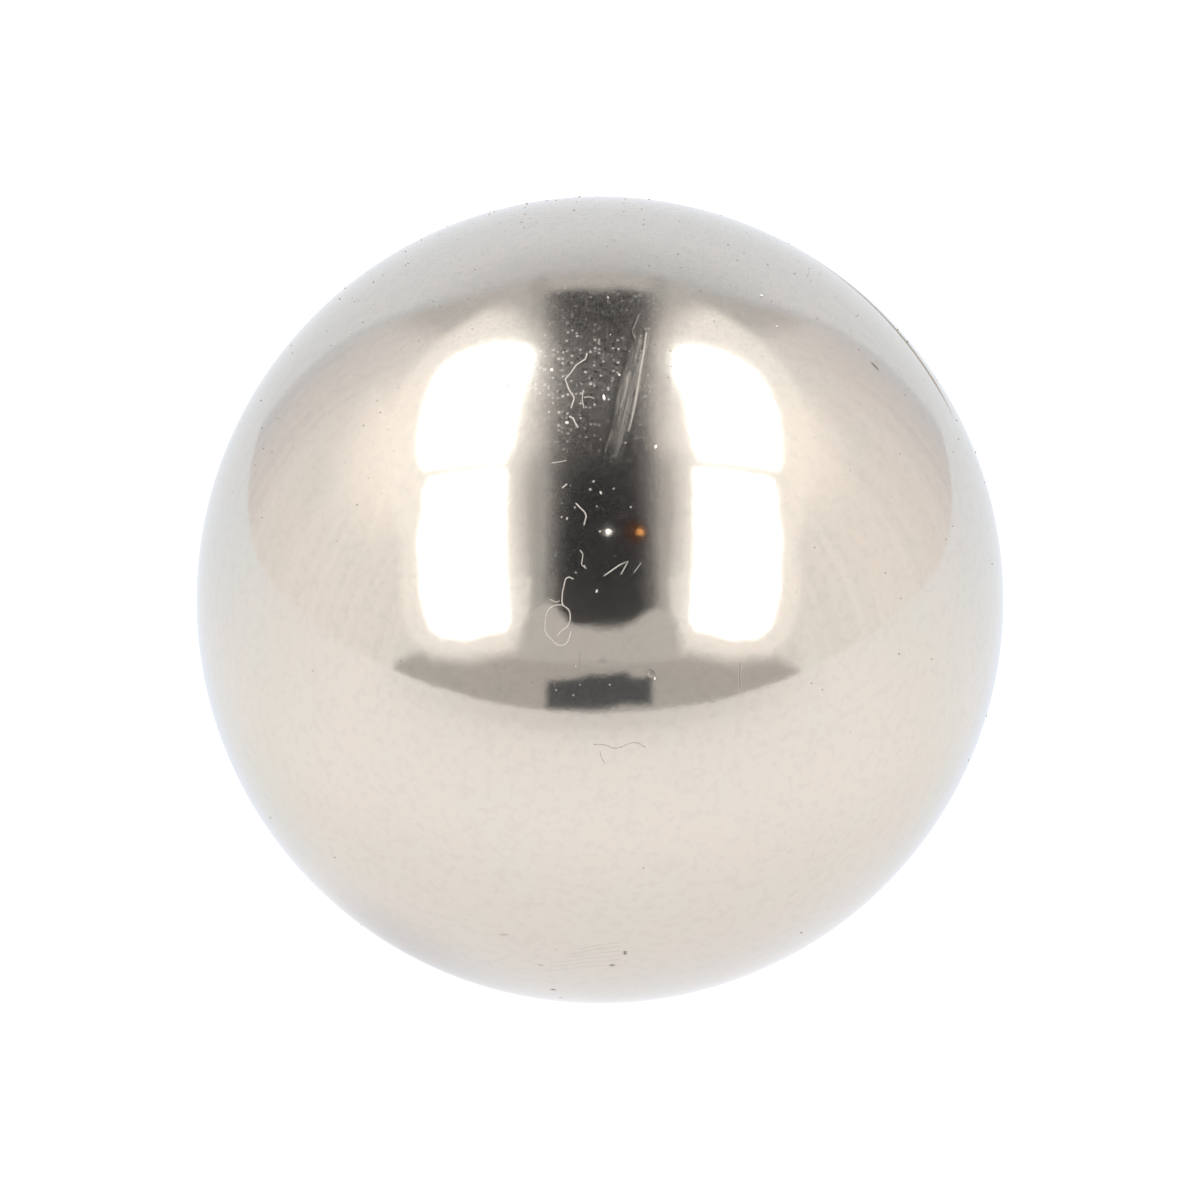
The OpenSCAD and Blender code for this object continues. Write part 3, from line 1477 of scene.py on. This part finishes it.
@dataclass(frozen=True)
class DustGrains:
    """Loose grains of dust, which lie all over the ball and thickest on its top.

    A tone runs from 0, near white, to 1, brown. Of the large grains the widest are the
    palest. Each pair of limits is what chance picks between.
    """

    radius: float
    view: Viewpoint
    count: int = 1000
    widths_um: Span = (6, 24)
    # A higher power makes more of the grains small.
    width_power: float = 2.5
    tones: Span = (0.5, 0.97)
    palest_um: float = 44
    tone_span_um: float = 30
    darkest_large: float = 0.8
    # How likely a grain is to stay where the ball doesn't face up.
    clinging: float = 0.05
    bumps: Span = (0.75, 1.15)
    lengths: Span = (0.8, 1.5)
    breadths: Span = (0.6, 1.0)
    thickness: float = 0.7
    lift: float = 0.2
    seed: int = 5

    def build(self) -> bpy.types.Object:
        """Makes one rough grain, then copies it to every place.

        Returns:
            All the grains, as one piece.
        """
        chance = random.Random(self.seed)
        grain = self._one_grain(chance)
        settled = [
            (self.view.place(*place), width * MICRON, self._large_tone(width))
            for place, width in LARGE_GRAINS
        ]
        settled += [self._settle(chance) for _ in range(self.count)]
        copies = []
        for spot, width, tone in settled:
            copy = grain.copy()
            copy.data = grain.data.copy()
            bpy.context.collection.objects.link(copy)
            turn = Matrix.Rotation(chance.uniform(0, math.tau), 3, "Z")
            stretch = (chance.uniform(*self.lengths), chance.uniform(*self.breadths), self.thickness)
            lie = spot.to_track_quat("Z", "Y").to_matrix() @ turn @ Matrix.Diagonal(stretch)
            shape = (lie * (width / 2)).to_4x4()
            shape.translation = spot * (1 + self.lift * width / self.radius)
            copy.data.transform(shape)
            write_attribute(copy.data, "tone", np.full(len(copy.data.vertices), tone))
            copies.append(copy)
        bpy.data.objects.remove(grain)
        dust = join_pieces(copies, "dust_grains")
        dust.data.materials.append(HouseDust().make())
        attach(dust, "root")
        LOG.info("%d grains of dust settled", len(copies))
        return dust

    def _one_grain(self, chance: random.Random) -> bpy.types.Object:
        """Makes one angular grain, about 2 wide.

        Args:
            chance: What shapes it.

        Returns:
            The grain.
        """
        start_afresh()
        bpy.ops.mesh.primitive_ico_sphere_add(subdivisions=1, radius=1)
        grain = new_piece("grain")
        points = read_points(grain.data)
        write_points(grain.data, points * np.array([[chance.uniform(*self.bumps)] for _ in points]))
        return grain

    def _large_tone(self, width_um: float) -> float:
        """Gives a large grain's tone by its width."""
        return min(max(self.palest_um - width_um, 0) / self.tone_span_um, self.darkest_large)

    def _settle(self, chance: random.Random) -> tuple[Vector, float, float]:
        """Picks a place, a width and a tone, with most grains small and high up.

        Args:
            chance: What picks them.

        Returns:
            The place and the width in metres, and the tone.
        """
        while True:
            height = chance.uniform(-1, 1)
            if chance.random() < self.clinging + (1 - self.clinging) * max(0.0, height) ** 2:
                break
        around = chance.uniform(0, math.tau)
        flat = math.sqrt(1 - height**2)
        spot = Vector((flat * math.cos(around), flat * math.sin(around), height)) * self.radius
        narrow, wide = self.widths_um
        width = narrow + (wide - narrow) * chance.random() ** self.width_power
        return spot, width * MICRON, chance.uniform(*self.tones)


# ---------------------------------------------------------------- whole


def main() -> None:
    """Builds the ball, what lies on it and its surroundings, in order."""
    logging.basicConfig(level=logging.INFO, format="%(name)s: %(message)s")
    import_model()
    low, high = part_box("ball")
    radius = round((high.z - low.z) / 2, 6)
    view = Viewpoint(ball_radius=radius)
    view.set_up_camera()
    LightTent(ball_radius=radius).pitch()
    PlatedBall(radius, view).build()
    LintFibres(view).build()
    DustGrains(radius, view).build()
    bpy.context.scene.view_settings.view_transform = "Standard"
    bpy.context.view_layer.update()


if __name__ == "__main__":
    main()
